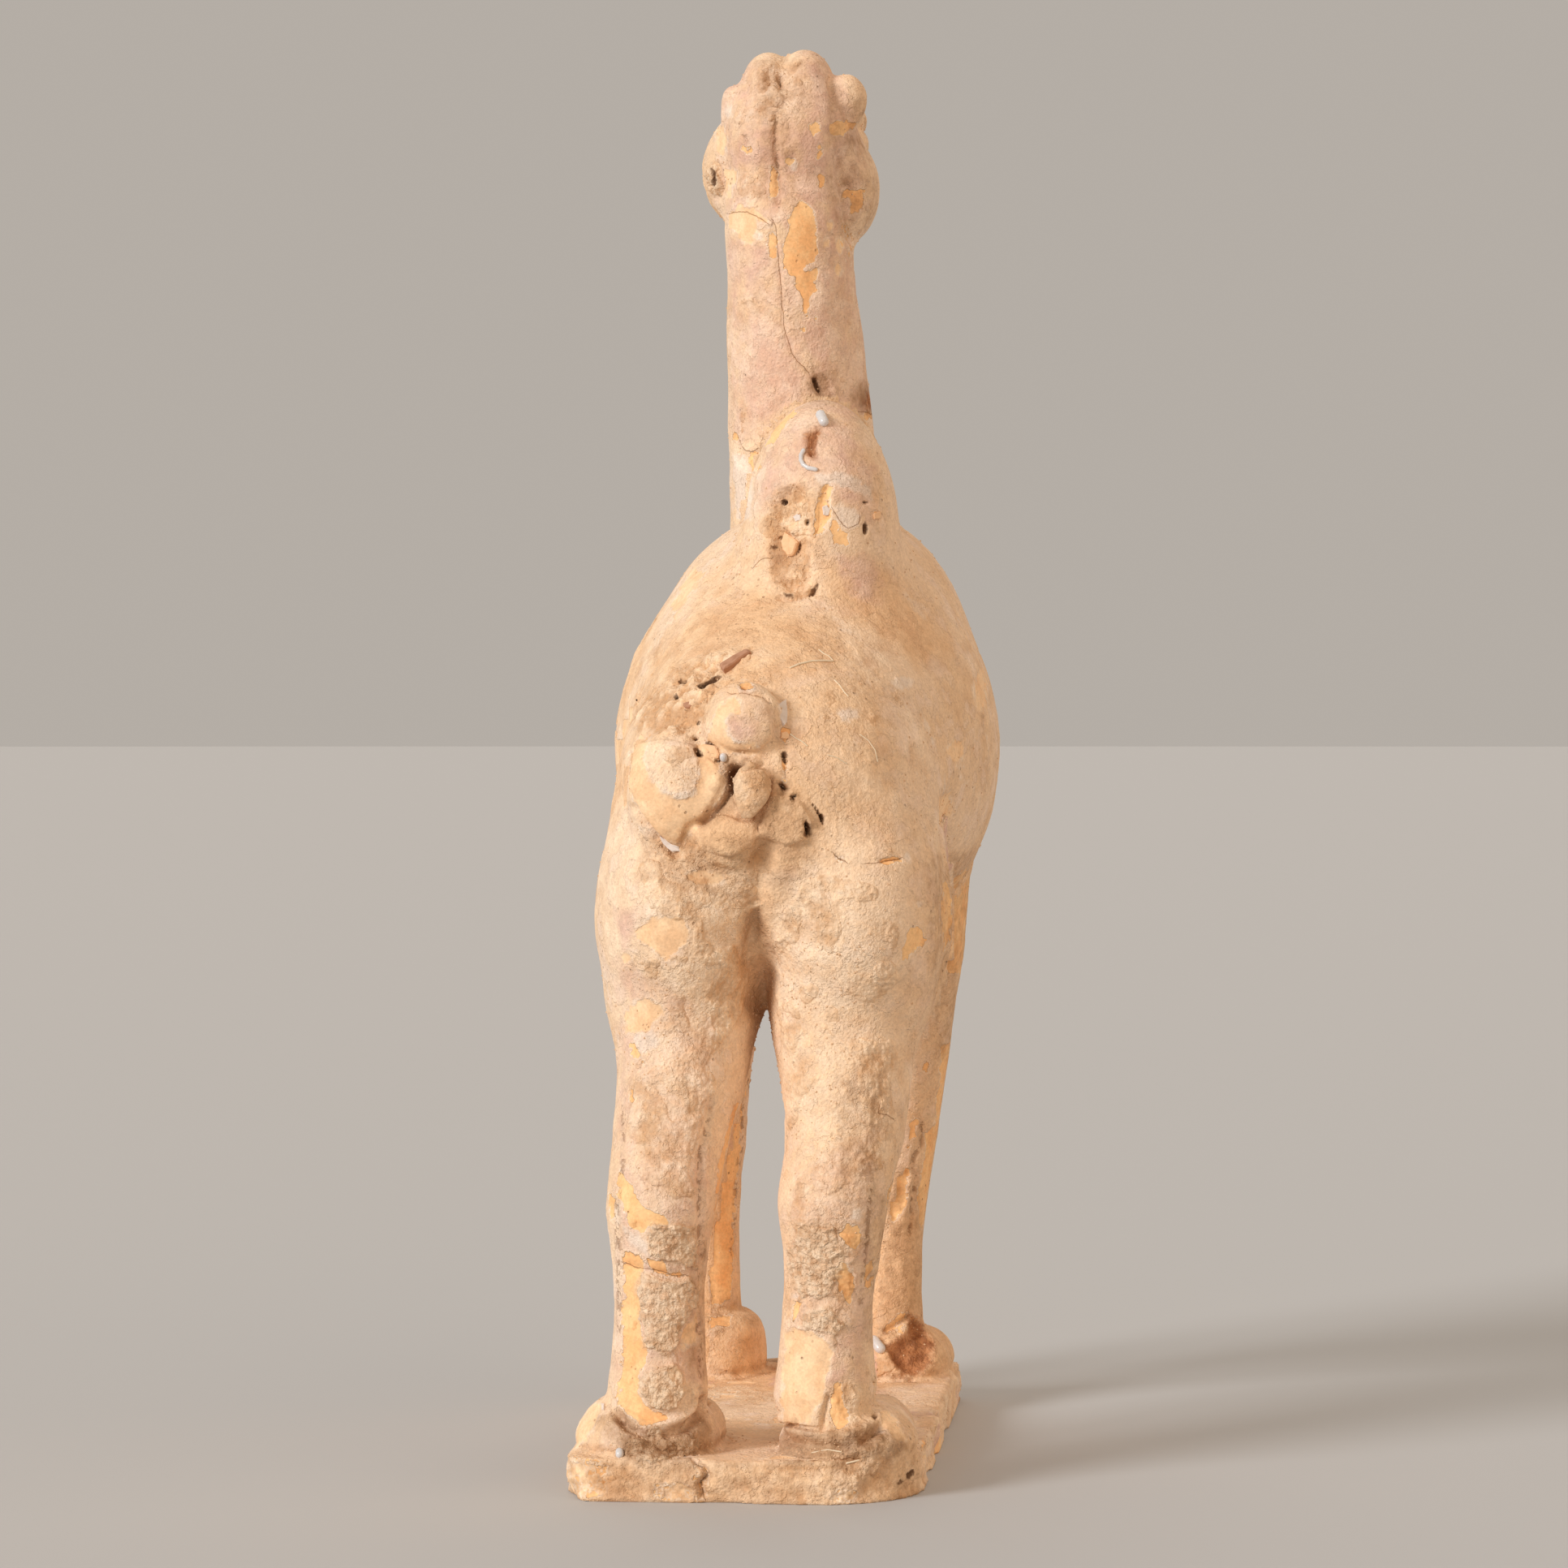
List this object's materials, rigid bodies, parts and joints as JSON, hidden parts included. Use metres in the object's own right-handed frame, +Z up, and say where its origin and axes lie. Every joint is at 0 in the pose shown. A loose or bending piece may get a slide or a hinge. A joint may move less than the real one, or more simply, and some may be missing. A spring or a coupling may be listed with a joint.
{
  "type": "terracotta camel figure",
  "caption": "Standing two-humped camel of fired clay on a thin rectangular base slab, with an upright neck, a tail curled on the rump, and chips, cracks and earth left on it.",
  "frame": {"origin": "on the flat underside of the base slab, below the belly, on the figure's long centre line", "axes": "+Z up, the camel faces -Y, its left side is +X"},
  "size_m": [0.1157, 0.2989, 0.4288],
  "materials": {
    "terracotta": "unglazed low-fired orange clay under pale slip, with mauve pigment traces and dry tan earth"
  },
  "bodies": {
    "root": {"camel_figure": "terracotta"}
  },
  "joints": []
}
